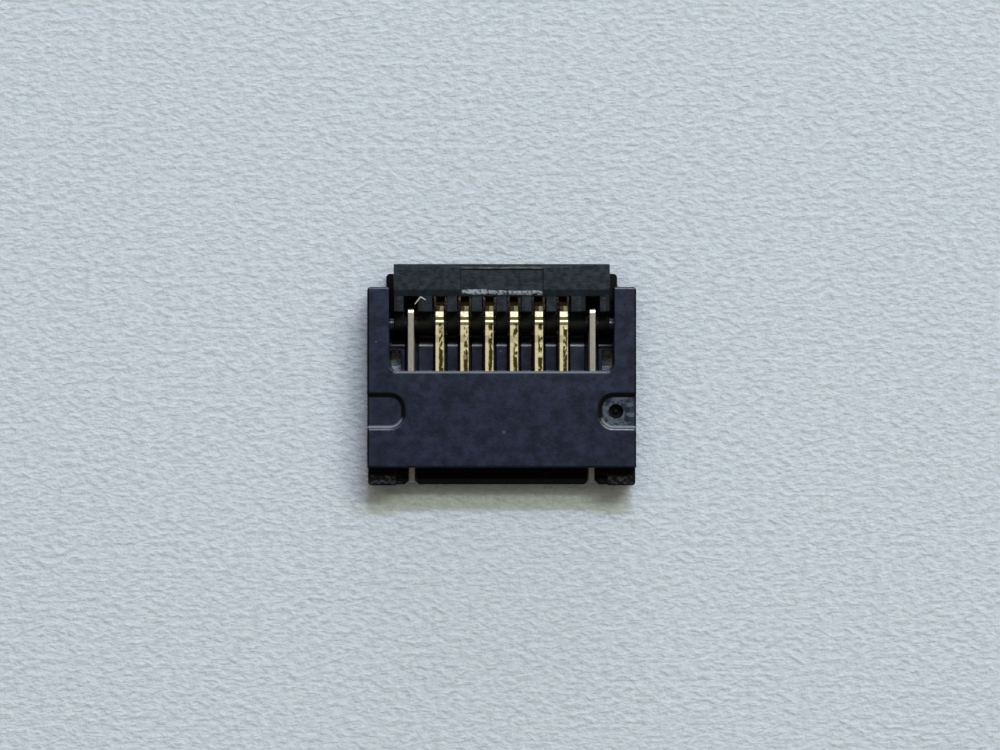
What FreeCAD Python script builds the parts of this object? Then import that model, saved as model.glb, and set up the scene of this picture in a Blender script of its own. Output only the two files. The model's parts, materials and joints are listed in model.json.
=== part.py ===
# Six-way flat-cable connector for a battery tail, with a flip lever at the rear.
# The moulded housing lies on the board. The cable slides in at the front, along +Y,
# between the two arms of each stamped contact, as far as the wall in the middle. The
# lever turns on a cam shaft that runs through the hooked rear ends of the contacts: laid
# flat it spreads the hooks and so clamps the cable, and stood up it lets the cable go.
# A blade at each end of the row hooks over the same shaft and is soldered at the lip.
# All sizes are in millimetres. X is along the row, Y from the mouth to the lever, Z up
# from the board. The origin is the middle of the housing's board face.

import FreeCAD, Part
import math
import os

# The cable and the row of contacts
positions = 6
pitch = 0.50
cable_width = 3.50
cable_play = 0.015
contact_thickness = 0.17
blade_thickness = 0.13

# The housing in plan
end_gap = 0.43                 # hold-down blade's centre to the inner face of the side arm
arm_width = 0.44
lip_length = 0.37
roof_length = 1.94
arm_length = 1.69
corner_radius = 0.07
window_corner = 0.14
shoulder_width = 0.56          # the raised corner of the lip, from the housing's side

# The heights, of which the axis sets most
axis_height = 0.58
mouth_height = 0.40
mouth_rise = 0.02              # the middle of the mouth above the axis
shoulder_rise = 0.04           # the lip's raised corners above the mouth
roof_skin = 0.16
slot_floor = 0.10
sill_height = 0.14
step_height = 0.24

# Inside the window behind the roof, measured from the lever's axis
axis_to_rear = 0.74            # the axis to the rear ends of the side arms
floor_to_axis = 0.407
step_to_axis = 0.238
seat_to_axis = 0.20
drain_width = 0.20
drain_length = 0.415
drain_taper = 0.03

# The lever
lever_reach = 1.20
lever_rise = 0.04              # the lever's underside above the axis
lever_drop = 0.03              # the lever's top lies this far under the housing's top
lever_gap = 0.09
brow_reach = 0.678
tooth_reach = 0.238
tooth_fall = 0.07
comb_reach = 0.558
comb_slot = 0.284
cheek_reach = 0.94
nail_bevel = 0.14
barrel_radius = 0.15
cam_height = 0.34
cam_width = 0.24
cam_corner = 0.105
trunnion_radius = 0.14
trunnion_length = 0.27
panel_width = 1.66
panel_length = 0.50            # runs out through the brow's slope
panel_to_rear = 0.10
panel_depth = 0.035
panel_rim_width = 0.05
panel_rim_rise = 0.02

# The bearing in each side arm, a channel that the trunnion snaps along
channel_neck = 0.11            # half the height that the snap ribs leave
rib_length = 0.06
lug_length = 0.293
lug_half = 2.35
lug_corner = 0.08

# The contacts and the hold-down blades, from the lever's axis
tail_thickness = 0.12
tail_reach = 1.14
tail_slope = 0.25
beam_depth = 0.25
wall_to_axis = 1.01
wall_length = 0.40
nose_length = 0.063            # the hook's wall to the rear end of the arm's top
nose_drop = 0.10
nose_face = 0.11               # the top of the nose, which falls towards the rear
nose_fall = 0.035
nose_rise = 0.01
nose_slope = 0.127             # how far the nose's rear face runs out as it comes down
ridge_reach = 0.058
ridge_height = 0.03
ridge_width = 0.04
ridge_run = 0.08               # the ridge's middle to the foot of its front slope
dip_depth = 0.03
blade_nose = 0.054             # how much further back the blade's nose reaches
blade_drop = 0.02              # the blade's tip under the mouth's roof
spring_depth = 0.14
finger_start = 0.74            # front face of the housing to the contact's spring tip
finger_drop = 0.17             # the spring tip's bump under the mouth's roof
finger_heel = 0.255            # from the tip: the bump's underside ends
finger_flank = 0.51            # from the tip: the bump has run out
finger_crown = 0.34            # from the tip: the finger's top starts to rise
lower_start = 0.50
bump_rise = 0.04
foot_length = 0.30
foot_setback = 0.05
tail_rise = 0.05

# Fits and small edges
running_gap = 0.02
slot_gap = 0.02
blade_gap = 0.02
floor_slot = 0.28
slit_flare = 0.06
lead_in = 0.12
edge = 0.03
lit_edge = 0.05
stamp_radius = 0.025
inner_radius = 0.05            # where a stamping's arms meet its web
crest_radius = 0.0125          # along the top of a contact's nose and ridge
brow_radius = 0.10             # over the top of a blade's nose

# Moulding marks in the top face
mark_length = 0.724
mark_width = 0.66
mark_radius = 0.27
mark_depth = 0.05
mark_slope = 0.05              # how far the mark's wall leans out over its depth
mark_from_front = 1.50
gate_inset = 0.407
gate_radius = 0.145
gate_depth = 0.16
gate_stub_radius = 0.07
gate_stub_tip = 0.035
gate_stub_height = 0.035

# Places that follow from the sizes above
row_half = pitch * (positions - 1) / 2
mouth_half = cable_width / 2 + cable_play
blade_x = mouth_half + blade_thickness / 2
window_half = blade_x + end_gap
housing_half = window_half + arm_width
shoulder_x = housing_half - shoulder_width
housing_depth = lip_length + roof_length + arm_length
front = -housing_depth / 2
rear = housing_depth / 2
roof_front = front + lip_length
roof_rear = roof_front + roof_length
axis_y = rear - axis_to_rear
floor_rear = axis_y - floor_to_axis
step_rear = axis_y - step_to_axis
wall_rear = axis_y - wall_to_axis
wall_front = wall_rear - wall_length
tooth_front = axis_y + tooth_reach
comb_end = axis_y + comb_reach
lever_rear = axis_y + lever_reach
lever_half = window_half - lever_gap
cheek_inner = blade_x + comb_slot / 2
cheek_rear = axis_y + cheek_reach
floor_height = axis_height + mouth_rise - mouth_height / 2
mouth_top = floor_height + mouth_height
shoulder_height = mouth_top + shoulder_rise
arm_underside = axis_height + cam_height / 2 + running_gap
arm_top = arm_underside + beam_depth
slot_top = arm_top + slot_gap
housing_height = slot_top + roof_skin
lever_top = housing_height - lever_drop
lever_bottom = axis_height + lever_rise
lower_top = axis_height - cam_height / 2 - running_gap
beam_bottom = slot_floor + running_gap
hook_wall = axis_y + cam_height / 2 + running_gap
nose_end = hook_wall + nose_length
seat_height = axis_height - barrel_radius - running_gap
seat_front = axis_y + seat_to_axis
channel_half = trunnion_radius + running_gap
channel_x = lever_half + trunnion_length + running_gap
tail_end = axis_y + tail_reach
contact_places = [pitch * i - row_half for i in range(positions)]
blade_places = [-blade_x, blade_x]
beyond = 1.0                   # how far a cutting tool runs past what it cuts
widest_round = 0.45            # the most of an edge that a rounded corner takes


def block(x, y, z):
    """A box from pairs of limits."""
    size = [pair[1] - pair[0] for pair in (x, y, z)]
    return Part.makeBox(*size, FreeCAD.Vector(x[0], y[0], z[0]))


def outline(corners, place):
    """A closed face. Each corner is (a, b) or (a, b, radius); place puts (a, b) in space."""
    points = [FreeCAD.Vector(corner[0], corner[1], 0) for corner in corners]
    edges = []
    joins = []
    for i, corner in enumerate(corners):
        here = points[i]
        before = points[i - 1] - here
        after = points[(i + 1) % len(points)] - here
        shorter = min(before.Length, after.Length)
        before.normalize()
        after.normalize()
        half_turn = before.getAngle(after) / 2
        run = min((corner[2] if len(corner) > 2 else 0) / math.tan(half_turn), shorter * widest_round)
        if run == 0:
            joins.append((here, here))
            continue
        radius = run * math.tan(half_turn)
        middle = here + (before + after).normalize() * (radius / math.sin(half_turn) - radius)
        start = here + before * run
        end = here + after * run
        joins.append((start, end))
        edges.append(Part.Arc(place(start), place(middle), place(end)).toShape())
    for i, (_, end) in enumerate(joins):
        start = joins[(i + 1) % len(joins)][0]
        edges.append(Part.LineSegment(place(end), place(start)).toShape())
    return Part.Face(Part.Wire(Part.__sortEdges__(edges)))


def side_profile(corners, x):
    """A solid with the given outline in Y and Z, from x[0] to x[1]."""
    face = outline(corners, lambda p: FreeCAD.Vector(x[0], p.x, p.y))
    return face.extrude(FreeCAD.Vector(x[1] - x[0], 0, 0))


def plan_profile(corners, z):
    """A solid with the given outline in X and Y, from z[0] to z[1]."""
    face = outline(corners, lambda p: FreeCAD.Vector(p.x, p.y, z[0]))
    return face.extrude(FreeCAD.Vector(0, 0, z[1] - z[0]))


def shaft(x, radius):
    """A round bar on the lever's axis, from x[0] to x[1]."""
    start = FreeCAD.Vector(x[0], axis_y, axis_height)
    return Part.makeCylinder(radius, x[1] - x[0], start, FreeCAD.Vector(1, 0, 0))


def both_sides(make):
    """What make(side) gives at the left, side -1, and at the right, side 1."""
    return [make(-1), make(1)]


def span(side, inner, outer):
    """The limits in X between two distances from the middle, on one side."""
    return sorted((side * inner, side * outer))


def around(middle, width):
    """The limits of a width about its middle."""
    return (middle - width / 2, middle + width / 2)


def housing_shell():
    """The outer block, with the lip in front, broken top edges and rounded corners."""
    section = [
        (front, 0), (rear, 0), (rear, housing_height - edge), (rear - edge, housing_height),
        (roof_front + edge, housing_height), (roof_front, housing_height - edge),
        (roof_front, shoulder_height), (front + edge, shoulder_height),
        (front, shoulder_height - edge),
    ]
    plan = [
        (-housing_half, front, corner_radius), (housing_half, front, corner_radius),
        (housing_half, rear, corner_radius), (-housing_half, rear, corner_radius),
    ]
    shell = side_profile(section, (-housing_half, housing_half))
    shell = shell.common(plan_profile(plan, (0, housing_height)))
    length = FreeCAD.Vector(0, housing_depth + 2 * beyond, 0)
    for side in (-1, 1):
        corner = [
            (side * housing_half, housing_height - edge), (side * housing_half, housing_height),
            (side * (housing_half - edge), housing_height),
        ]
        face = outline(corner, lambda p: FreeCAD.Vector(p.x, front - beyond, p.y))
        shell = shell.cut(face.extrude(length))
    return shell


def mouth_cut():
    """The way in for the cable: open above the lip, then a tunnel to the wall."""
    lip = [
        (front - beyond, floor_height - lead_in - beyond), (front + lead_in, floor_height),
        (roof_front, floor_height), (roof_front, housing_height), (front - beyond, housing_height),
    ]
    tunnel = [
        (roof_front - lit_edge, floor_height), (wall_front, floor_height),
        (wall_front, mouth_top), (roof_front + lit_edge, mouth_top),
        (roof_front - lit_edge, mouth_top + 2 * lit_edge),
    ]
    above_lip = side_profile(lip, (-shoulder_x, shoulder_x))
    return above_lip.fuse(side_profile(tunnel, (-mouth_half, mouth_half)))


def window_plan(z):
    """The room behind the roof, between the side arms, from z[0] to z[1]."""
    corners = [
        (-window_half, roof_rear, window_corner), (window_half, roof_rear, window_corner),
        (window_half, rear + beyond), (-window_half, rear + beyond),
    ]
    return plan_profile(corners, z)


def window_cut():
    """The open well behind the roof, down to the stepped floor, with broken edges."""
    ledge = [
        (roof_rear - beyond, 0), (step_rear, 0), (step_rear, step_height - edge),
        (step_rear - edge, step_height), (floor_rear, step_height),
        (floor_rear, floor_height - lit_edge), (floor_rear - lit_edge, floor_height),
        (roof_rear - beyond, floor_height),
    ]
    bevel = [
        (roof_rear, housing_height - lit_edge), (roof_rear, housing_height),
        (roof_rear - lit_edge, housing_height),
    ]
    reach = window_half - window_corner
    well = window_plan((sill_height, housing_height + beyond))
    well = well.cut(side_profile(ledge, (-window_half, window_half)))
    return well.fuse(side_profile(bevel, (-reach, reach)))


def drain_cut(side):
    """A hole through the floor in the window's front corner, narrower towards the rear."""
    inner = window_half - drain_width
    corners = [
        (side * (inner - drain_taper), roof_rear - window_corner),
        (side * window_half, roof_rear - window_corner),
        (side * window_half, roof_rear + drain_length, edge),
        (side * inner, roof_rear + drain_length, edge),
    ]
    hole = plan_profile(corners, (-beyond, floor_height + beyond))
    return hole.common(window_plan((-beyond, floor_height + beyond)))


def lever_seat(side):
    """The ledge under the lever's cheek, with the lug that runs out behind the arm."""
    corners = [
        (side * cheek_inner, seat_front), (side * window_half, seat_front),
        (side * window_half, rear - arm_width), (side * lug_half, rear - arm_width),
        (side * lug_half, rear + lug_length, lug_corner),
        (side * cheek_inner, rear + lug_length, lug_corner),
    ]
    return plan_profile(corners, (0, seat_height))


def bearing_cut(side):
    """The channel in the arm's inner face, round at the axis and necked by snap ribs."""
    low = axis_height - channel_half
    high = axis_height + channel_half
    x = span(side, window_half - edge, channel_x)
    channel = block(x, (axis_y, rear + beyond), (low, high))
    rib_y = (axis_y + channel_half, axis_y + channel_half + rib_length)
    for z in ((low, axis_height - channel_neck), (axis_height + channel_neck, high)):
        channel = channel.cut(block(x, rib_y, z))
    return channel.fuse(shaft(x, channel_half))


def contact_slot(x):
    """The groove that one contact slides into from the rear, wider inside the window."""
    close = around(x, contact_thickness + 2 * slot_gap)
    wide = around(x, floor_slot)
    groove = block(close, (front + lower_start - slot_gap, roof_rear), (slot_floor, floor_height))
    upper = block(
        close, (front + finger_start - slot_gap, roof_rear + lit_edge),
        (floor_height, slot_top),
    )
    window = block(wide, (roof_rear, step_rear), (slot_floor, mouth_top))
    sill = block(wide, (step_rear, rear + beyond), (-beyond, mouth_top))
    return groove.fuse([upper, window, sill])


def blade_slot(x):
    """The tunnels for one hold-down, open below at its foot and flared at the lip."""
    half = blade_thickness / 2 + blade_gap
    close = (x - half, x + half)
    slit = [
        (x - half - slit_flare, front - beyond), (x + half + slit_flare, front - beyond),
        (x + half + slit_flare, front), (x + half, front + slit_flare), (x + half, roof_front),
        (x - half, roof_front), (x - half, front + slit_flare), (x - half - slit_flare, front),
    ]
    foot_room = front + foot_setback + foot_length + tail_rise + blade_gap
    lip = plan_profile(slit, (-beyond, housing_height))
    foot = block(close, (front, foot_room), (-beyond, floor_height + blade_gap))
    lower = block(close, (front, seat_front), (slot_floor, floor_height + blade_gap))
    upper = block(
        close, (front + finger_start, roof_rear + lit_edge),
        (mouth_top - blade_drop - blade_gap, slot_top),
    )
    web = block(close, (wall_front - blade_gap, roof_rear + lit_edge), (slot_floor, mouth_top))
    window = block(around(x, floor_slot), (roof_rear, seat_front), (slot_floor, mouth_top))
    return lip.fuse([foot, lower, upper, web, window])


def mark_outline(side, grow, z):
    """The edge of a side mark at one height, larger by grow all round."""
    middle = front + mark_from_front
    half = mark_width / 2 + grow
    inner = side * (housing_half - mark_length - grow)
    outer = side * (housing_half + beyond)
    corners = [
        (outer, middle - half), (inner, middle - half, mark_radius + grow),
        (inner, middle + half, mark_radius + grow), (outer, middle + half),
    ]
    return outline(corners, lambda p: FreeCAD.Vector(p.x, p.y, z)).OuterWire


def side_mark(side):
    """A shallow mark let into the top face, with leaning walls, open at the side."""
    low = mark_outline(side, -mark_slope / 2, housing_height - mark_depth)
    high = mark_outline(side, mark_slope / 2, housing_height)
    return Part.makeLoft([low, high], True, True)


def gate_pit():
    """The pit that the moulding gate left, with its broken stub standing in it."""
    middle = FreeCAD.Vector(
        housing_half - gate_inset, front + mark_from_front,
        housing_height - mark_depth - gate_depth,
    )
    pit = Part.makeCylinder(gate_radius, gate_depth + mark_depth, middle)
    return pit.cut(Part.makeCone(gate_stub_radius, gate_stub_tip, gate_stub_height, middle))


def make_housing():
    cuts = [mouth_cut(), window_cut(), gate_pit()]
    cuts += both_sides(drain_cut) + both_sides(side_mark)
    housing = housing_shell().cut(cuts).fuse(both_sides(lever_seat))
    cuts = both_sides(bearing_cut)
    cuts += [contact_slot(x) for x in contact_places] + [blade_slot(x) for x in blade_places]
    return housing.cut(cuts).removeSplitter()


def make_contact(x):
    """One stamped fork: two arms joined by a web, a hook over the cam and a solder tail."""
    tip = front + finger_start
    lower_tip = front + lower_start
    ridge = axis_y + ridge_reach
    finger_top = arm_top - (beam_depth - spring_depth) / 2
    bump_bottom = mouth_top - finger_drop
    lower_arm = floor_height - bump_rise
    tail_start = hook_wall + stamp_radius
    corners = [
        (tail_end, 0, stamp_radius), (tail_end, tail_thickness, stamp_radius),
        (tail_start + tail_slope, tail_thickness, stamp_radius),
        (tail_start, lower_top, stamp_radius),
        (wall_rear, lower_top, inner_radius), (wall_rear, arm_underside, inner_radius),
        (hook_wall, arm_underside, stamp_radius),
        (hook_wall, arm_underside - nose_drop, stamp_radius),
        (nose_end + nose_slope, arm_underside - nose_drop, stamp_radius),
        (nose_end, arm_top - nose_fall, stamp_radius),
        (nose_end - nose_face, arm_top + nose_rise, crest_radius),
        (ridge + ridge_width, arm_top - dip_depth, crest_radius),
        (ridge + ridge_width / 2, arm_top + ridge_height, crest_radius),
        (ridge - ridge_width / 2, arm_top + ridge_height, crest_radius),
        (ridge - ridge_run, arm_top, stamp_radius),
        (wall_front, arm_top, stamp_radius),
        (tip + finger_crown, finger_top, stamp_radius), (tip, finger_top, stamp_radius),
        (tip, bump_bottom + finger_drop / 2, stamp_radius),
        (tip + finger_drop / 2, bump_bottom, stamp_radius),
        (tip + finger_heel, bump_bottom, stamp_radius),
        (tip + finger_flank, finger_top - spring_depth, stamp_radius),
        (wall_front, finger_top - spring_depth, inner_radius),
        (wall_front, lower_arm, inner_radius),
        (tip + finger_flank, lower_arm, stamp_radius),
        (tip + finger_crown, floor_height + bump_rise, stamp_radius),
        (tip + finger_drop, floor_height + bump_rise, stamp_radius),
        (lower_tip + bump_rise, lower_arm - bump_rise, stamp_radius),
        (lower_tip, beam_bottom + bump_rise, stamp_radius), (lower_tip, beam_bottom, stamp_radius),
        (step_rear + slot_gap, beam_bottom, stamp_radius),
        (step_rear + slot_gap + tail_rise, 0, stamp_radius),
    ]
    return side_profile(corners, around(x, contact_thickness))


def make_blade(x):
    """One hold-down: a foot at the lip, an arm along the floor, a web and a hook above."""
    shaft_room = barrel_radius + running_gap
    underside = axis_height + shaft_room
    wall = axis_y + shaft_room
    lower_side = axis_height - shaft_room
    foot_front = front + foot_setback
    foot_rear = foot_front + foot_length
    tip = front + finger_start + blade_gap
    lower_arm = floor_height - blade_gap
    blade_end = nose_end + blade_nose
    corners = [
        (foot_front, 0, stamp_radius), (foot_rear, 0, stamp_radius),
        (foot_rear + tail_rise, beam_bottom, stamp_radius),
        (seat_front - blade_gap, beam_bottom, stamp_radius),
        (seat_front - blade_gap, lower_side, stamp_radius),
        (wall_rear, lower_side, inner_radius), (wall_rear, underside, inner_radius),
        (wall, underside, stamp_radius), (wall, underside - nose_drop, stamp_radius),
        (blade_end, underside - nose_drop, inner_radius),
        (blade_end, arm_top, brow_radius), (tip, arm_top, stamp_radius),
        (tip, mouth_top - blade_drop, stamp_radius),
        (wall_front, mouth_top - blade_drop, inner_radius),
        (wall_front, lower_arm, inner_radius), (foot_front, lower_arm, stamp_radius),
    ]
    return side_profile(corners, around(x, blade_thickness))


def lever_blank():
    """The lever's section, carried across its whole width."""
    brow = axis_y + brow_reach
    corners = [
        (axis_y, axis_height - barrel_radius), (tooth_front, lever_bottom),
        (lever_rear - nail_bevel, lever_bottom), (lever_rear, lever_bottom + nail_bevel),
        (lever_rear, lever_top, edge), (brow, lever_top), (comb_end, lever_top - tooth_fall),
        (tooth_front, lever_top - tooth_fall, edge), (tooth_front, axis_height + barrel_radius),
        (axis_y, axis_height + barrel_radius),
    ]
    x = (-lever_half, lever_half)
    return side_profile(corners, x).fuse(shaft(x, barrel_radius))


def lever_cheek(side):
    """The deep end of the lever, which lies on the housing's seat."""
    x = span(side, cheek_inner, lever_half)
    return block(x, (axis_y, cheek_rear), (axis_height - barrel_radius, lever_bottom + running_gap))


def comb_cut(x):
    """One slot of the comb, which a contact's hook stands in."""
    return block(around(x, comb_slot), (axis_y - beyond, comb_end), (0, housing_height + beyond))


def cam(x):
    """The lobe in one slot: tall when the lever lies flat, so that it spreads the hooks."""
    tall = cam_height / 2
    wide = cam_width / 2
    corners = [
        (axis_y - wide, axis_height - tall, cam_corner), (axis_y + wide, axis_height - tall, cam_corner),
        (axis_y + wide, axis_height + tall, cam_corner), (axis_y - wide, axis_height + tall, cam_corner),
    ]
    return side_profile(corners, around(x, comb_slot))


def panel_cut():
    """The sunk panel in the middle of the lever's top."""
    high = lever_rear - panel_to_rear
    y = (high - panel_length, high)
    return block(around(0, panel_width), y, (lever_top - panel_depth, lever_top + beyond))


def panel_rim():
    """The low ridge along the panel's rear edge, steep towards the panel."""
    high = lever_rear - panel_to_rear
    corners = [
        (high, lever_top - edge), (high, lever_top + panel_rim_rise),
        (high + panel_rim_width, lever_top), (high + panel_rim_width, lever_top - edge),
    ]
    return side_profile(corners, around(0, panel_width))


def trunnion(side):
    """The round end of the shaft, which turns in the side arm."""
    return shaft(span(side, lever_half - edge, lever_half + trunnion_length), trunnion_radius)


def make_lever():
    lever = lever_blank().fuse(both_sides(lever_cheek))
    lever = lever.cut([comb_cut(x) for x in contact_places + blade_places] + [panel_cut()])
    pieces = [cam(x) for x in contact_places] + both_sides(trunnion) + [panel_rim()]
    pieces += [shaft(around(x, comb_slot), barrel_radius) for x in blade_places]
    return lever.fuse(pieces).removeSplitter()


os.makedirs("parts", exist_ok=True)
nodes = {"housing": make_housing(), "lever": make_lever()}
for number, x in enumerate(contact_places, start=1):
    nodes[f"contact_{number}"] = make_contact(x)
for name, x in zip(("hold_down_left", "hold_down_right"), blade_places):
    nodes[name] = make_blade(x)
for name, shape in nodes.items():
    if len(shape.Solids) != 1 or not shape.isValid():
        raise ValueError(f"{name} has {len(shape.Solids)} solids, valid: {shape.isValid()}")
    shape.Solids[0].exportStep(f"parts/{name}.step")
    print(f"{name}: {shape.Volume:.4f} mm3")
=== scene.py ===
import json
import math

import bmesh
import bpy
import numpy as np
from mathutils import Matrix, Vector


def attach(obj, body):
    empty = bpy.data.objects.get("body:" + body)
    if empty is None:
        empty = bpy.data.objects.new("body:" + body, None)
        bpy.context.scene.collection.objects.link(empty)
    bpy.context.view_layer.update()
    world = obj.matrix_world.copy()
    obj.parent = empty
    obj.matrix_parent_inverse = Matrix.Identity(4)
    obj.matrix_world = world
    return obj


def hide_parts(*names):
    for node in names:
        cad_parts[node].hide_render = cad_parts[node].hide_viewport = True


# A six-way flat-cable connector with a flip lever: black mouldings, gilt contacts and tinned
# hold-downs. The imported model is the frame. Sizes here are in millimetres, and become metres as
# the meshes are made.

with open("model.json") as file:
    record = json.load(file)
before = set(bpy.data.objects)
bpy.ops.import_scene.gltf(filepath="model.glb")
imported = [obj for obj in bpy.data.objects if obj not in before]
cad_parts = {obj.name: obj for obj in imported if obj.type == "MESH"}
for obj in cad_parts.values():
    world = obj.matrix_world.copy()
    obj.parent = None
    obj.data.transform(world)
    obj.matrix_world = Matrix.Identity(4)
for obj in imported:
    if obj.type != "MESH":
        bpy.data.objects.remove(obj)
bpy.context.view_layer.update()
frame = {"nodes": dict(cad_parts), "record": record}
mm = 0.001
print("frame loaded:", len(frame["nodes"]), "nodes")


# Materials

def linear(hexColour):
    # sRGB hex to linear RGBA: c/12.92 below 0.04045, and ((c + 0.055)/1.055)^2.4 above it
    channels = [int(hexColour[i:i + 2], 16) / 255 for i in (1, 3, 5)]
    return [c / 12.92 if c <= 0.04045 else ((c + 0.055) / 1.055) ** 2.4 for c in channels] + [1.0]


def addNode(tree, kind, settings=None, links=None):
    # settings: attribute name, or socket name or number, to value
    # links: input socket to the output socket that feeds it
    node = tree.nodes.new(kind)
    for key, value in (settings or {}).items():
        if isinstance(key, str) and hasattr(node, key):
            setattr(node, key, value)
        else:
            node.inputs[key].default_value = value
    for key, source in (links or {}).items():
        tree.links.new(source, node.inputs[key])
    return node


def newMaterial(name):
    # an empty material with its tree and a vector of object coordinates in millimetres
    material = bpy.data.materials.new(name)
    material.use_nodes = True
    tree = material.node_tree
    tree.nodes.clear()
    place = addNode(tree, "ShaderNodeTexCoord").outputs["Object"]
    inMm = addNode(
        tree, "ShaderNodeVectorMath", {"operation": "SCALE", "Scale": 1 / mm}, {0: place},
    )
    return material, tree, inMm.outputs[0]


def noise(tree, place, size, detail=3.0, rough=0.55, stretch=(1, 1, 1)):
    # mottle whose blotches are about size millimetres across, drawn out by stretch
    vector = addNode(
        tree, "ShaderNodeVectorMath",
        {"operation": "MULTIPLY", 1: [1 / (size * s) for s in stretch]}, {0: place},
    )
    return addNode(
        tree, "ShaderNodeTexNoise", {"Scale": 1.0, "Detail": detail, "Roughness": rough},
        {"Vector": vector.outputs[0]},
    ).outputs["Fac"]


def mixColour(tree, factor, low, high):
    # low and high are colours or sockets; factor is a socket from 0 to 1
    node = addNode(tree, "ShaderNodeMix", {"data_type": "RGBA"}, {0: factor})
    for number, colour in ((6, low), (7, high)):
        if isinstance(colour, str):
            node.inputs[number].default_value = linear(colour)
        else:
            tree.links.new(colour, node.inputs[number])
    return node.outputs[2]


def ramp(tree, value, low, high, outLow=0.0, outHigh=1.0):
    # value from low..high to outLow..outHigh, held at the ends and eased between them
    return addNode(
        tree, "ShaderNodeMapRange",
        {"interpolation_type": "SMOOTHSTEP", "From Min": low, "From Max": high,
         "To Min": outLow, "To Max": outHigh},
        {"Value": value},
    ).outputs["Result"]


def maths(tree, kind, first, second=0.0, third=0.0):
    # one arithmetic step on sockets or plain numbers
    settings, links = {"operation": kind}, {}
    for number, value in enumerate((first, second, third)):
        (settings if isinstance(value, (int, float)) else links)[number] = value
    return addNode(tree, "ShaderNodeMath", settings, links).outputs[0]


def product(tree, *values):
    result = values[0]
    for value in values[1:]:
        result = maths(tree, "MULTIPLY", result, value)
    return result


def band(tree, value, low, high, soft):
    # 1 where value lies between low and high, falling to 0 over soft on either side
    return product(
        tree, ramp(tree, value, low - soft, low), ramp(tree, value, high, high + soft, 1.0, 0.0),
    )


def masksOf(tree, places):
    # two ways to a mask by the name of its place: slope is a ramp there, and strip is a band
    return (
        lambda value, name: ramp(tree, value, *places[name]),
        lambda value, name: band(tree, value, *places[name]),
    )


def axes(tree, place):
    return addNode(tree, "ShaderNodeSeparateXYZ", None, {0: place}).outputs


def away(tree, place, point):
    # distance in plan from a point
    flat = addNode(
        tree, "ShaderNodeVectorMath", {"operation": "MULTIPLY", 1: (1, 1, 0)}, {0: place},
    )
    return addNode(
        tree, "ShaderNodeVectorMath", {"operation": "DISTANCE", 1: (*point, 0)},
        {0: flat.outputs[0]},
    ).outputs["Value"]


def bump(tree, height, depth, strength=1.0):
    # relief of the given depth in millimetres
    return addNode(
        tree, "ShaderNodeBump", {"Distance": depth * mm, "Strength": strength}, {"Height": height},
    ).outputs["Normal"]


def finishMaterial(tree, settings, links):
    shader = addNode(tree, "ShaderNodeBsdfPrincipled", settings, links)
    addNode(tree, "ShaderNodeOutputMaterial", None, {"Surface": shader.outputs[0]})


def acrossPitch(tree, x):
    # distance from the middle of the nearest contact: X wrapped to half a pitch either side
    half = contactLook["pitch"] / 2
    return maths(tree, "WRAP", maths(tree, "ADD", x, half), half, -half)


# Glass-filled liquid crystal polymer, injection moulded: near black and matt, with a fine
# spark-eroded grain from the tool and cloudy flow marks where the glass lies near the skin.
# Its darkest tint is painted shade, and its palest tints serve both the gate's torn skin and
# painted highlights.
housingLook = {
    "dark": "#040d20", "pale": "#111c36", "paintedShade": "#010102", "rawAndHighlight": "#5d6872", "ledgeHighlightTint": "#7e7e88",
    "ior": 1.54, "rough": (0.27, 0.34), "shadeRough": 0.7, "highlightRough": 0.55, "gloss": (0.42, 0.12),
    "grain": 0.035, "grainDepth": 0.0025, "cloud": 0.22, "cloudShare": (0.52, 0.92),
    "gate": (2.293, -0.50), "scar": (0.46, 0.34), "scarSize": 0.13, "scarPatch": (0.42, 0.62),
    "scarAmount": 0.5, "pit": (0.155, 0.145), "rimHighlightAmount": 0.8, "roofHighlightAmount": 0.55,
    "cornerPatchSize": 0.07, "cornerPatchShare": (0.48, 0.62), "cornerPatchAmount": 0.28,
    "specks": (
        (0.046, -0.916, 0.03), (0.60, 0.93, 0.03), (-0.02, 0.72, 0.03), (-2.52, 0.90, 0.025),
    ),
    "speckAmount": 0.5,
}
# Where its marks lie, in millimetres: two numbers are the ends of a ramp, and three are a band
# with the width of its soft ends. X is taken to both sides.
housingPlaces = {
    "scarUnder": (1.17, 1.155), "scarOver": (1.12, 1.14), "pitUnder": (1.14, 1.12),
    "lugUnder": (0.46, 0.43), "lugBehind": (1.5, 1.6),
    "outlineFront": (-1.595, -1.612), "outlineSide": (2.655, 2.672),
    "markSide": (1.88, 1.90), "markAlong": (-0.90, -0.10, 0.02),
    "markRear": (-0.70, -0.60), "markFront": (-0.60, -0.70),
    "farWall": (1.1525, 1.1985, 0.002), "nearWall": (1.1515, 1.184, 0.002),
    "nearLine": (1.156, 1.176, 0.005),
    "stepUnder": (0.30, 0.28), "stepAlong": (0.90, 1.10, 0.02),
    "endUnder": (0.46, 0.43), "endSide": (1.93, 1.97), "endBehind": (0.74, 0.78),
    "window": (2.20, 2.14), "roofLine": (0.268, 0.318, 0.006), "roofOver": (1.13, 1.15),
    "ledgeSide": (2.26, 1.70, 0.3, 1.0), "ledgeLine": (0.826, 0.876, 0.006),
    "ledgeHeight": (0.35, 0.41, 0.01),
    "cornerPatchSide": (2.05, 2.64, 0.05), "cornerPatchAlong": (-1.97, -1.80, 0.03),
}


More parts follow.
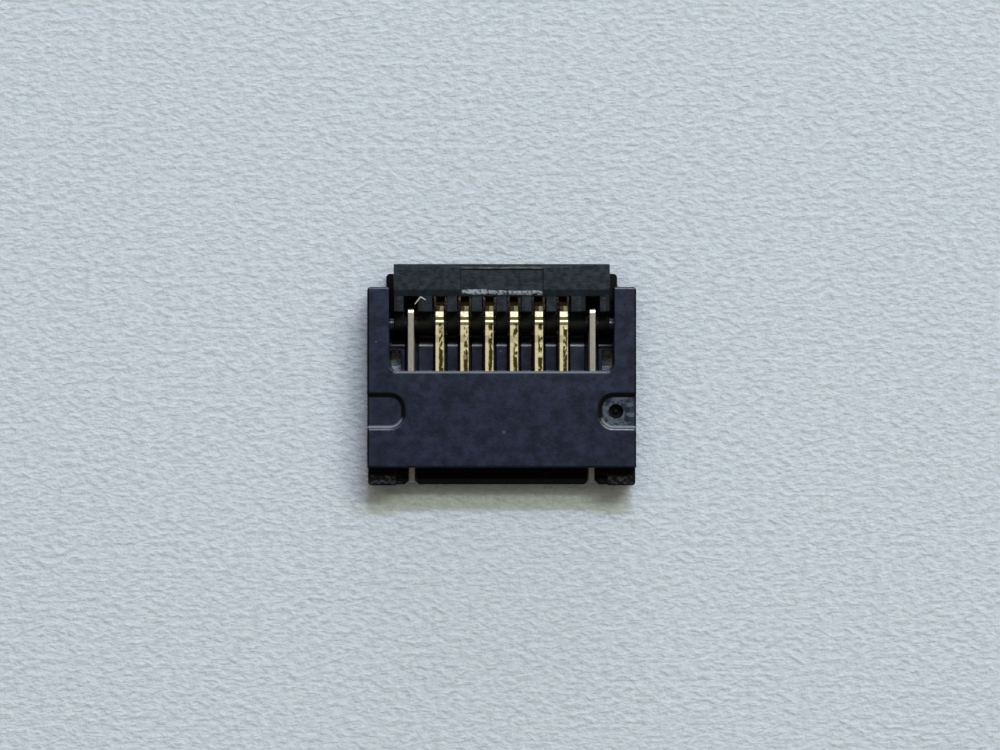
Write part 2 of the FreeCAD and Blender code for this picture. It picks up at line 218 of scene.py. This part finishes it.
def mouldedLcp():
    look, places = housingLook, housingPlaces
    material, tree, place = newMaterial("glassFilledLcp")
    x, y, z = axes(tree, place)
    wide = maths(tree, "ABSOLUTE", x)
    slope, strip = masksOf(tree, places)
    cloud = noise(tree, place, look["cloud"], 4.0, 0.65)
    grain = noise(tree, place, look["grain"], 2.0, 0.6)
    shade = maths(tree, "MULTIPLY_ADD", grain, 0.4, cloud)
    colour = mixColour(tree, ramp(tree, shade, *look["cloudShare"]), look["dark"], look["pale"])
    # the torn skin round the gate
    fromGate = away(tree, place, look["gate"])
    torn = noise(tree, place, look["scarSize"], 3.0, 0.6)
    scar = product(
        tree, ramp(tree, fromGate, *look["scar"]), ramp(tree, torn, *look["scarPatch"]),
        slope(z, "scarUnder"), slope(z, "scarOver"),
    )
    colour = mixColour(tree, maths(tree, "MULTIPLY", scar, look["scarAmount"]), colour, look["rawAndHighlight"])
    # the walls of the side marks: painted shade on the rear walls and the inner ends, and a pale
    # painted highlight on the front walls, which face the light
    mark = product(tree, slope(wide, "markSide"), strip(y, "markAlong"))
    farWall = product(tree, mark, strip(z, "farWall"), slope(y, "markRear"))
    nearWall = product(tree, mark, strip(z, "nearWall"), slope(y, "markFront"))
    nearLine = product(tree, nearWall, strip(z, "nearLine"))
    # painted shade, near black, where little light comes back: the gate's pit, the lip and outline
    # of the top, the marks' far walls, the low step and the ends of the ledge; the low lugs behind
    # the arms are made as dark
    paintedShade = product(tree, ramp(tree, fromGate, *look["pit"]), slope(z, "pitUnder"))
    for mask in (
        product(tree, slope(z, "lugUnder"), slope(y, "lugBehind")),
        slope(y, "outlineFront"), slope(wide, "outlineSide"), farWall,
        product(tree, slope(z, "stepUnder"), strip(y, "stepAlong")),
        product(tree, slope(z, "endUnder"), slope(wide, "endSide"), slope(y, "endBehind")),
    ):
        paintedShade = maths(tree, "MAXIMUM", paintedShade, mask)
    # painted highlights along the broken edges at the rear of the roof and of the ledge: a soft
    # grey line where the edges face the light
    roofLine = product(tree, slope(wide, "window"), strip(y, "roofLine"), slope(z, "roofOver"))
    ledgeLine = product(
        tree, slope(wide, "ledgeSide"), strip(y, "ledgeLine"), strip(z, "ledgeHeight"),
    )
    paintedHighlight = maths(tree, "MAXIMUM", nearWall, maths(tree, "MAXIMUM", roofLine, ledgeLine))
    # paler patches over the front corners
    cornerPatchNoise = noise(tree, place, look["cornerPatchSize"], 3.0, 0.7, (1.6, 1, 1))
    cornerPatch = product(
        tree, strip(wide, "cornerPatchSide"), strip(y, "cornerPatchAlong"),
        ramp(tree, cornerPatchNoise, *look["cornerPatchShare"]),
    )
    # the tints laid over the moulding: painted shade, painted highlights on the marks' front walls,
    # the roof and the ledge, and the paler corner patches
    for amount, tint in (
        (paintedShade, look["paintedShade"]), (product(tree, nearLine, look["rimHighlightAmount"]), look["rawAndHighlight"]),
        (product(tree, roofLine, look["roofHighlightAmount"]), look["rawAndHighlight"]), (ledgeLine, look["ledgeHighlightTint"]),
        (product(tree, cornerPatch, look["cornerPatchAmount"]), look["rawAndHighlight"]),
    ):
        colour = mixColour(tree, amount, colour, tint)
    # pale flecks that lie on the top
    for *spot, radius in look["specks"]:
        fleck = ramp(tree, away(tree, place, spot), radius, radius * 0.4)
        colour = mixColour(tree, product(tree, fleck, look["speckAmount"]), colour, look["rawAndHighlight"])
    dull = maths(
        tree, "MAXIMUM", product(tree, paintedShade, look["shadeRough"]),
        product(tree, paintedHighlight, look["highlightRough"]),
    )
    finishMaterial(
        tree, {"IOR": look["ior"]},
        {"Base Color": colour,
         "Roughness": maths(tree, "MAXIMUM", ramp(tree, cloud, 0.3, 0.7, *look["rough"]), dull),
         "Specular IOR Level": ramp(tree, paintedShade, 0.0, 1.0, *look["gloss"]),
         "Normal": bump(tree, maths(tree, "MULTIPLY_ADD", scar, torn, grain), look["grainDepth"])},
    )
    return material


# Heat-proof nylon of the lever: a little greener and glossier than the housing, drawn lines
# along X where the tool was milled.
# Its near-black tint is painted shade, and its pale tint is both rubbing and painted highlight.
leverLook = {
    "dark": "#07111a", "pale": "#15232e", "paintedShade": "#020303", "rubbedAndLit": "#8d949c", "ior": 1.53,
    "rough": (0.25, 0.33), "dullRough": 0.6, "gloss": (0.45, 0.2),
    "cloud": 0.13, "cloudShare": (0.35, 0.7), "lines": 0.03, "lineDepth": 0.003,
    "ragged": 0.08, "raggedReach": 0.11, "lean": 0.012, "patch": 0.05, "patchShare": (0.35, 0.55),
    "rubbedAndLitAmount": 0.85,
}
leverPlaces = {
    "rubbedAndLitAlong": (1.912, 1.985, 0.012), "rubbedAndLitAcross": (-0.78, 0.80, 0.03),
    "rubbedAndLitOver": (1.04, 1.06), "shaftUnder": (0.80, 0.76), "shaftSide": (2.17, 2.15),
    "slotSide": (0.158, 0.152), "slotAlong": (1.50, 1.81, 0.01), "slotUnder": (1.13, 1.11),
    "rearEdge": (2.425, 2.44),
}


def mouldedNylon():
    look, places = leverLook, leverPlaces
    material, tree, place = newMaterial("mouldedNylon")
    x, y, z = axes(tree, place)
    slope, strip = masksOf(tree, places)
    cloud = noise(tree, place, look["cloud"], 4.0, 0.65)
    lines = noise(tree, place, look["lines"], 2.0, 0.5, (5, 1, 1))
    colour = mixColour(tree, ramp(tree, cloud, *look["cloudShare"]), look["dark"], look["pale"])
    # the brow rubbed pale by the fingernail that shuts the lever, in a ragged strip; the pale is
    # also a painted highlight where the brow's front wall faces the light
    ragged = noise(tree, place, look["ragged"], 3.0, 0.6, (2.5, 1, 1))
    along = maths(
        tree, "MULTIPLY_ADD", ragged, look["raggedReach"],
        maths(tree, "MULTIPLY_ADD", x, look["lean"], y),
    )
    rubbedAndLit = product(
        tree, strip(along, "rubbedAndLitAlong"), strip(x, "rubbedAndLitAcross"), slope(z, "rubbedAndLitOver"),
        ramp(tree, noise(tree, place, look["patch"], 3.0, 0.7), *look["patchShare"]),
    )
    colour = mixColour(tree, product(tree, rubbedAndLit, look["rubbedAndLitAmount"]), colour, look["rubbedAndLit"])
    # painted shade, near black, on the shaft between the arms, the walls of the comb's slots and
    # the rear edge
    fromContact = maths(tree, "ABSOLUTE", acrossPitch(tree, x))
    shaft = product(tree, slope(z, "shaftUnder"), slope(maths(tree, "ABSOLUTE", x), "shaftSide"))
    walls = product(
        tree, slope(fromContact, "slotSide"), strip(y, "slotAlong"), slope(z, "slotUnder"),
    )
    paintedShade = maths(tree, "MAXIMUM", maths(tree, "MAXIMUM", shaft, walls), slope(y, "rearEdge"))
    colour = mixColour(tree, paintedShade, colour, look["paintedShade"])
    dull = product(tree, maths(tree, "MAXIMUM", paintedShade, rubbedAndLit), look["dullRough"])
    finishMaterial(
        tree, {"IOR": look["ior"]},
        {"Base Color": colour,
         "Roughness": maths(tree, "MAXIMUM", ramp(tree, cloud, 0.3, 0.7, *look["rough"]), dull),
         "Specular IOR Level": ramp(tree, paintedShade, 0.0, 1.0, *look["gloss"]),
         "Normal": bump(tree, maths(tree, "MULTIPLY_ADD", cloud, 1.5, lines), look["lineDepth"])},
    )
    return material


# Phosphor bronze, gold flashed over nickel. The edges seen from above are the blanked ones:
# smooth and burnished on the punch side, torn and darker on the other.
# Its dark brown tint is painted shade and painted reflection.
contactLook = {
    "pitch": 0.50, "gold": "#c9bf9a", "torn": "#37321a", "shadeBrown": "#2a1c08",
    "goldRough": 0.52, "tornRough": 0.6, "tearDepth": 0.004,
    "wander": 0.12, "wanderReach": 0.05, "tear": 0.085, "tearShare": (0.38, 0.58),
    "mottle": 0.05, "mottleShare": (0.42, 0.7), "mottleAmount": 0.4,
    "beltShadeAmount": 0.35, "dipShadeAmount": 0.75,
    "noseDarkSize": 0.05, "noseDarkShare": (0.48, 0.62), "noseDarkAmount": 0.5,
}
contactPlaces = {
    "streak": (0.022, 0.084, 0.018), "forward": (0.85, 0.45, 0.0, 0.10),
    "land": (-0.02, 0.03, 0.3, 1.0), "beforeRidge": (1.285, 1.27),
    "beltShade": (0.90, 1.02, 0.03), "dip": (1.350, 1.385, 0.008),
    "noseAlong": (1.385, 1.50, 0.01), "noseCorner": (0.068, 0.088, 0.0, 0.8),
    "deepUnder": (0.55, 0.35), "deepAlong": (1.5, 1.96, 0.02),
    "shadedSide": (0.005, -0.005), "shadedBehind": (1.515, 1.53), "shadedOver": (0.3, 0.35),
}


def goldFlash():
    look, places = contactLook, contactPlaces
    material, tree, place = newMaterial("goldFlashedBronze")
    x, y, z = axes(tree, place)
    slope, strip = masksOf(tree, places)
    fromMiddle = acrossPitch(tree, x)
    wander = noise(tree, place, look["wander"], 3.0, 0.6)
    edge = maths(tree, "MULTIPLY_ADD", wander, look["wanderReach"], fromMiddle)
    # a torn streak right of the middle, fuller towards the front, on a mottled land
    tears = noise(tree, place, look["tear"], 1.0, 0.5, (1, 1.7, 1))
    tears = maths(tree, "ADD", tears, slope(y, "forward"))
    streak = product(tree, strip(edge, "streak"), ramp(tree, tears, *look["tearShare"]))
    mottle = product(
        tree, slope(edge, "land"),
        ramp(tree, noise(tree, place, look["mottle"], 2.0, 0.6), *look["mottleShare"]),
        look["mottleAmount"],
    )
    torn = product(tree, maths(tree, "MAXIMUM", streak, mottle), slope(y, "beforeRidge"))
    # painted shade: a dull belt across the beam, and another in the dip between the ridge and the
    # nose
    beltShade = maths(
        tree, "MAXIMUM", product(tree, strip(y, "beltShade"), look["beltShadeAmount"]),
        product(tree, strip(y, "dip"), look["dipShadeAmount"]),
    )
    # the nose is darker in patches, and its corners carry painted shade
    noseDarkNoise = noise(tree, place, look["noseDarkSize"], 2.0, 0.6)
    noseDark = product(tree, ramp(tree, noseDarkNoise, *look["noseDarkShare"]), look["noseDarkAmount"])
    corner = slope(maths(tree, "ABSOLUTE", fromMiddle), "noseCorner")
    nose = product(tree, strip(y, "noseAlong"), maths(tree, "MAXIMUM", noseDark, corner))
    # painted shade, dark brown: deep under the lever, and a painted reflection of the dark slot on
    # the left half of the nose's rear slope
    deepShade = product(tree, slope(z, "deepUnder"), strip(y, "deepAlong"))
    shaded = product(
        tree, slope(fromMiddle, "shadedSide"), slope(y, "shadedBehind"), slope(z, "shadedOver"),
    )
    # the torn tint lays both the torn streak and the belt's, the dip's and the nose corners'
    # painted shade
    dull = maths(tree, "MAXIMUM", nose, maths(tree, "MAXIMUM", torn, beltShade))
    colour = mixColour(tree, dull, look["gold"], look["torn"])
    colour = mixColour(tree, maths(tree, "MAXIMUM", deepShade, shaded), colour, look["shadeBrown"])
    finishMaterial(
        tree, {"Metallic": 1.0},
        {"Base Color": colour,
         "Roughness": ramp(tree, torn, 0.0, 1.0, look["goldRough"], look["tornRough"]),
         "Normal": bump(tree, torn, look["tearDepth"])},
    )
    return material


# Phosphor bronze, matt tin plated: silvery grey with a soft satin grain.
tinLook = {
    "bright": "#c9c5bf", "dull": "#8f8b86", "rough": 0.36, "grain": 0.03, "grainDepth": 0.002,
}


def mattTin():
    look = tinLook
    material, tree, place = newMaterial("mattTinPlate")
    grain = noise(tree, place, look["grain"], 3.0, 0.6, (1, 3, 1))
    colour = mixColour(tree, grain, look["dull"], look["bright"])
    finishMaterial(
        tree, {"Metallic": 1.0, "Roughness": look["rough"]},
        {"Base Color": colour, "Normal": bump(tree, grain, look["grainDepth"])},
    )
    return material


materials = {
    "housing_plastic": mouldedLcp(), "lever_plastic": mouldedNylon(),
    "contact_gold": goldFlash(), "hold_down_tin": mattTin(),
}
print("materials made:", ", ".join(materials))

nodeSlots = {"housing": "housing_plastic", "lever": "lever_plastic"}
for node in frame["nodes"]:
    if node.startswith("contact_"):
        nodeSlots[node] = "contact_gold"
    elif node.startswith("hold_down_"):
        nodeSlots[node] = "hold_down_tin"
for node, slotName in nodeSlots.items():
    mesh = frame["nodes"][node].data
    mesh.materials.clear()
    mesh.materials.append(materials[slotName])


# Every moulded or stamped edge is a little round, and it is the rounds that catch the light. Each
# node gets a copy of its own mesh with its edges rounded, and the copy stands for the node.
wearLook = {
    "rolledEdges": ((0.31, 1.15), (0.853, 0.35)), "rolledUp": 0.034, "found": 0.001,
    "panelFloor": 1.17, "ridgeFront": 1.29, "ridgeRear": 1.36, "ridgeFoot": 1.03, "ridgeFall": 0.3,
    "noseFront": 1.466, "noseFoot": 0.955, "noseTop": 1.02,
    "markSide": 1.9, "markMiddle": -0.50, "markReach": 0.42, "markFoot": 1.14,
}


def rolledHousing(places):
    # the broken edges along the rear of the roof and of the ledge fall 0.016 over 0.05, not 0.05
    y, z = places[:, 1], places[:, 2]
    for edgeY, edgeZ in wearLook["rolledEdges"]:
        corner = (np.abs(y - edgeY) < wearLook["found"]) & (np.abs(z - edgeZ) < wearLook["found"])
        places[corner, 2] += wearLook["rolledUp"]


def wornLever(places):
    # the ridge behind the panel is worn to half its height above the top face
    z, floor = places[:, 2], wearLook["panelFloor"]
    places[:, 2] = np.where(z > floor + wearLook["found"], floor + (z - floor) / 2, z)


def coinedContact(places):
    # the ridge's top falls 0.3 in 1 towards the rear
    y, z, look = places[:, 1], places[:, 2], wearLook
    ridge = (z > look["ridgeFoot"]) & (y > look["ridgeFront"]) & (y < look["ridgeRear"])
    fall = look["ridgeFall"] * np.clip(y - look["ridgeFront"], 0, 1)
    places[:, 2] = np.where(ridge, z - fall, z)


def bluntHoldDown(places):
    # the round of the nose is pressed flat to half its fall
    y, z, top = places[:, 1], places[:, 2], wearLook["noseTop"]
    nose = (y > wearLook["noseFront"]) & (z > wearLook["noseFoot"])
    places[:, 2] = np.where(nose, top - (top - z) / 2, z)


def sideMark(point):
    # the leaning walls of the two side marks
    look = wearLook
    return (
        abs(point.x) > look["markSide"] and point.z > look["markFoot"]
        and abs(point.y - look["markMiddle"]) < look["markReach"]
    )


def nowhere(point):
    return False


# radius: each edge's round, in "steps" facets. soft and softRadius: where edges that turn less than
# "steep" degrees get a wider one. weld, flat and sharp: the distance at which corners are joined,
# and the turns, in degrees, below which faces are joined and above which an edge is rounded.
edgeLook = {
    "housing": {
        "radius": 0.016, "steps": 3, "shape": rolledHousing, "soft": sideMark, "softRadius": 0.032,
    },
    "lever": {
        "radius": 0.014, "steps": 3, "shape": wornLever, "soft": nowhere, "softRadius": 0,
    },
    "contact": {
        "radius": 0.010, "steps": 2, "shape": coinedContact, "soft": nowhere, "softRadius": 0,
    },
    "hold": {
        "radius": 0.016, "steps": 3, "shape": bluntHoldDown, "soft": nowhere, "softRadius": 0,
    },
    "weld": 0.0002, "flat": 0.6, "sharp": 18.5, "steep": 60,
}


def sharpEdges(bm):
    limit = math.radians(edgeLook["sharp"])
    return [e for e in bm.edges if len(e.link_faces) == 2 and e.calc_face_angle() > limit]


def roundEdges(bm, edges, radius, steps):
    bmesh.ops.bevel(
        bm, geom=edges, offset=radius, offset_type="OFFSET", segments=steps, profile=0.5,
        affect="EDGES", clamp_overlap=False,
    )


def roundedCopy(node, name, body, slotName, look):
    # weld the loose triangles, join flat ones into whole faces, round the edges, and give each
    # corner the mean of its faces' normals, weighted by their areas
    mesh = frame["nodes"][node].data.copy()
    places = np.empty(len(mesh.vertices) * 3)
    mesh.vertices.foreach_get("co", places)
    places = places.reshape(-1, 3) / mm
    look["shape"](places)
    mesh.vertices.foreach_set("co", places.ravel())
    bm = bmesh.new()
    bm.from_mesh(mesh)
    bpy.data.meshes.remove(mesh)
    bmesh.ops.remove_doubles(bm, verts=bm.verts, dist=edgeLook["weld"])
    bmesh.ops.dissolve_limit(
        bm, angle_limit=math.radians(edgeLook["flat"]), verts=bm.verts, edges=bm.edges,
    )
    steep = math.radians(edgeLook["steep"])
    soft = [
        e for e in sharpEdges(bm)
        if e.calc_face_angle() < steep and all(look["soft"](v.co) for v in e.verts)
    ]
    roundEdges(bm, soft, look["softRadius"], look["steps"])
    roundEdges(bm, sharpEdges(bm), look["radius"], look["steps"])
    bmesh.ops.triangulate(bm, faces=bm.faces)
    bm.normal_update()
    mesh = bpy.data.meshes.new(name)
    bm.to_mesh(mesh)
    bm.free()
    count = len(mesh.vertices)
    places = np.empty(count * 3)
    mesh.vertices.foreach_get("co", places)
    places = places.reshape(-1, 3)
    corners = np.empty(len(mesh.polygons) * 3, dtype=np.int64)
    mesh.polygons.foreach_get("vertices", corners)
    corners = corners.reshape(-1, 3)
    # a triangle's facing is the cross product of two of its sides, twice its area long
    a, b, c = (places[corners[:, i]] for i in range(3))
    facing = np.cross(b - a, c - a)
    normals = np.zeros((count, 3))
    for i in range(3):
        np.add.at(normals, corners[:, i], facing)
    lengths = np.linalg.norm(normals, axis=1, keepdims=True)
    normals = normals / np.where(lengths > 0, lengths, 1)
    mesh.vertices.foreach_set("co", (places * mm).ravel())
    mesh.polygons.foreach_set("use_smooth", np.ones(len(mesh.polygons), dtype=bool))
    mesh.normals_split_custom_set_from_vertices(normals.tolist())
    mesh.materials.append(materials[slotName])
    piece = bpy.data.objects.new(name, mesh)
    bpy.context.scene.collection.objects.link(piece)
    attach(piece, body)
    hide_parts(node)
    print("rounded", name, len(mesh.polygons), "triangles")


for body, nodes in frame["record"]["behaviour"]["bodies"].items():
    for node in nodes:
        look = edgeLook[node.split("_")[0]]
        roundedCopy(node, node + "_finished", body, nodeSlots[node], look)


# A bent fibre of lint lies across the comb, from the left hold-down's slot to the next tooth.
# bend: the share of its length before the bend. taper: its thickness is the first number and the
# second times the sine of swell, from the first angle, in half turns, on by the second.
lintLook = {
    "path": ((-1.750, 1.654, 1.082), (-1.628, 1.800, 1.128), (-1.525, 1.738, 1.116)),
    "bend": 0.66, "radius": 0.014, "taper": (0.35, 0.65), "swell": (0.15, 0.75),
    "rings": 40, "sides": 8, "colour": "#b9b8b4", "rough": 0.7, "ior": 1.55,
}


def makeLint():
    # rings of radius r along the path: centre + r (cos a across + sin a up), thinner at both ends
    look = lintLook
    rings, sides = look["rings"], look["sides"]
    t = np.linspace(0, 1, rings)
    knots = (0, look["bend"], 1)
    centre = np.stack([np.interp(t, knots, [p[i] for p in look["path"]]) for i in range(3)], axis=1)
    middle = (centre[:-2] + centre[1:-1] + centre[2:]) / 3
    centre = np.vstack([centre[:1], middle, centre[-1:]])
    along = np.gradient(centre, axis=0)
    along /= np.linalg.norm(along, axis=1, keepdims=True)
    across = np.cross(along, (0, 0, 1))
    across /= np.linalg.norm(across, axis=1, keepdims=True)
    up = np.cross(across, along)
    a = np.linspace(0, 2 * np.pi, sides, endpoint=False)
    (least, more), (begin, reach) = look["taper"], look["swell"]
    thick = look["radius"] * (least + more * np.sin(np.pi * (begin + reach * t)))
    points = centre[:, None] + thick[:, None, None] * (
        np.cos(a)[:, None] * across[:, None] + np.sin(a)[:, None] * up[:, None]
    )
    first = np.arange(rings - 1)[:, None] * sides + np.arange(sides)
    second = np.arange(rings - 1)[:, None] * sides + (np.arange(sides) + 1) % sides
    faces = np.stack([first, second, second + sides, first + sides], axis=-1).reshape(-1, 4)
    caps = [list(range(sides))[::-1], list(range((rings - 1) * sides, rings * sides))]
    mesh = bpy.data.meshes.new("lint_fibre")
    mesh.from_pydata((points.reshape(-1, 3) * mm).tolist(), [], faces.tolist() + caps)
    mesh.polygons.foreach_set("use_smooth", np.ones(len(mesh.polygons), dtype=bool))
    material, tree, place = newMaterial("cottonLint")
    finishMaterial(
        tree,
        {"Base Color": linear(look["colour"]), "Roughness": look["rough"], "IOR": look["ior"]},
        None,
    )
    mesh.materials.append(material)
    fibre = bpy.data.objects.new("lint_fibre", mesh)
    bpy.context.scene.collection.objects.link(fibre)
    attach(fibre, "flip_lever")
    print("lint made")


makeLint()


# The floor: rough pale paper, plain. Its felted fibres are shown coarser than they are, and light
# soaks in by soakDepth, red furthest, which tints the edges of the shadow.
floorLook = {
    "half": 60.0, "colour": "#bcc5cd", "pale": "#cdd5dc", "rough": 0.9,
    "fibre": 0.115, "stretch": (1.6, 1, 1), "relief": 0.15,
    "soak": (1.0, 0.88, 0.6), "soakDepth": 1.3, "soakShare": 0.55,
}


def makeFloor():
    look = floorLook
    mesh = bpy.data.meshes.new("paper_floor")
    h = look["half"] * mm
    mesh.from_pydata([(-h, -h, 0), (h, -h, 0), (h, h, 0), (-h, h, 0)], [], [(0, 1, 2, 3)])
    floor = bpy.data.objects.new("paper_floor", mesh)
    bpy.context.scene.collection.objects.link(floor)
    material, tree, place = newMaterial("uncoatedPaper")
    felt = noise(tree, place, look["fibre"], 5.0, 0.55, look["stretch"])
    colour = mixColour(tree, ramp(tree, felt, 0.3, 0.7), look["colour"], look["pale"])
    finishMaterial(
        tree,
        {"subsurface_method": "BURLEY", "Roughness": look["rough"],
         "Subsurface Weight": look["soakShare"], "Subsurface Radius": look["soak"],
         "Subsurface Scale": look["soakDepth"] * mm},
        {"Base Color": colour, "Normal": bump(tree, felt, look["relief"])},
    )
    mesh.materials.append(material)
    print("floor made")


makeFloor()

# Light: long windows and tubes behind and to the right. side and behind are the lamp's X and Y
# over its height above the part, and along and across are its two sizes over that height, so a
# shadow of a body 1 high ends at those distances from it.
lampLook = {
    "coolSpot": {
        "side": 0.05, "behind": 0.78, "along": 0.10, "across": 0.05,
        "share": 0.265, "tint": (0.90, 0.95, 1.22),
    },
    "coolStrip": {
        "side": 0.35, "behind": 0.78, "along": 0.50, "across": 0.05,
        "share": 0.235, "tint": (0.90, 0.95, 1.22),
    },
    "warmStrip": {
        "side": 0.38, "behind": 0.51, "along": 0.55, "across": 0.06,
        "share": 0.36, "tint": (1.08, 1.10, 0.80),
    },
    "leftSoft": {
        "side": -0.25, "behind": 0.45, "along": 0.20, "across": 0.2,
        "share": 0.065, "tint": (1.1, 1.0, 0.85),
    },
    "rearLow": {
        "side": 0.3, "behind": 6.0, "along": 3.0, "across": 1.5,
        "share": 0.03, "tint": (0.95, 0.98, 1.05),
    },
}
worldLook = {"share": 0.18, "tint": (1.06, 1.02, 0.92)}
lampHeight = 300.0


def makeLamp(name, look):
    # share is the part of a white floor's light. The lamp lies across its own ray, with its length
    # level.
    data = bpy.data.lights.new(name, "AREA")
    data.shape = "RECTANGLE"
    data.size = look["along"] * lampHeight * mm
    data.size_y = look["across"] * lampHeight * mm
    place = Vector((look["side"], look["behind"], 1.0))
    distance = place.length * lampHeight * mm
    towards = place.normalized()
    # a lamp of P watts gives the floor P sin(elevation) / (pi distance^2), and a share of it is
    # that over pi
    data.energy = look["share"] * math.pi ** 2 * distance ** 2 / towards.z
    data.color = look["tint"]
    lamp = bpy.data.objects.new(name, data)
    bpy.context.scene.collection.objects.link(lamp)
    acrossRay = towards.cross(Vector((1, 0, 0))).normalized()
    turn = Matrix((acrossRay.cross(towards), acrossRay, towards)).transposed()
    lamp.location = towards * distance
    lamp.rotation_mode = "QUATERNION"
    lamp.rotation_quaternion = turn.to_quaternion()


for name, look in lampLook.items():
    makeLamp(name, look)

world = bpy.data.worlds.new("paleRoom")
world.use_nodes = True
world.node_tree.nodes.clear()
sky = addNode(
    world.node_tree, "ShaderNodeBackground",
    {"Color": list(worldLook["tint"]) + [1.0], "Strength": worldLook["share"]},
)
addNode(world.node_tree, "ShaderNodeOutputWorld", None, {"Surface": sky.outputs[0]})
bpy.context.scene.world = world
bpy.context.scene.view_settings.view_transform = "Standard"
print("light made")

# The camera looks straight down from 55 mm, as a telephone held over the part does
cameraLook = {
    "place": (-0.034, 0.232, 55.0), "lens": 96.54, "sensor": 36.0, "near": 0.5, "far": 400,
}
cameraData = bpy.data.cameras.new("camera")
cameraData.lens = cameraLook["lens"]
cameraData.sensor_width = cameraLook["sensor"]
cameraData.clip_start = cameraLook["near"] * mm
cameraData.clip_end = cameraLook["far"] * mm
camera = bpy.data.objects.new("camera", cameraData)
camera.location = [p * mm for p in cameraLook["place"]]
bpy.context.scene.collection.objects.link(camera)
bpy.context.scene.camera = camera
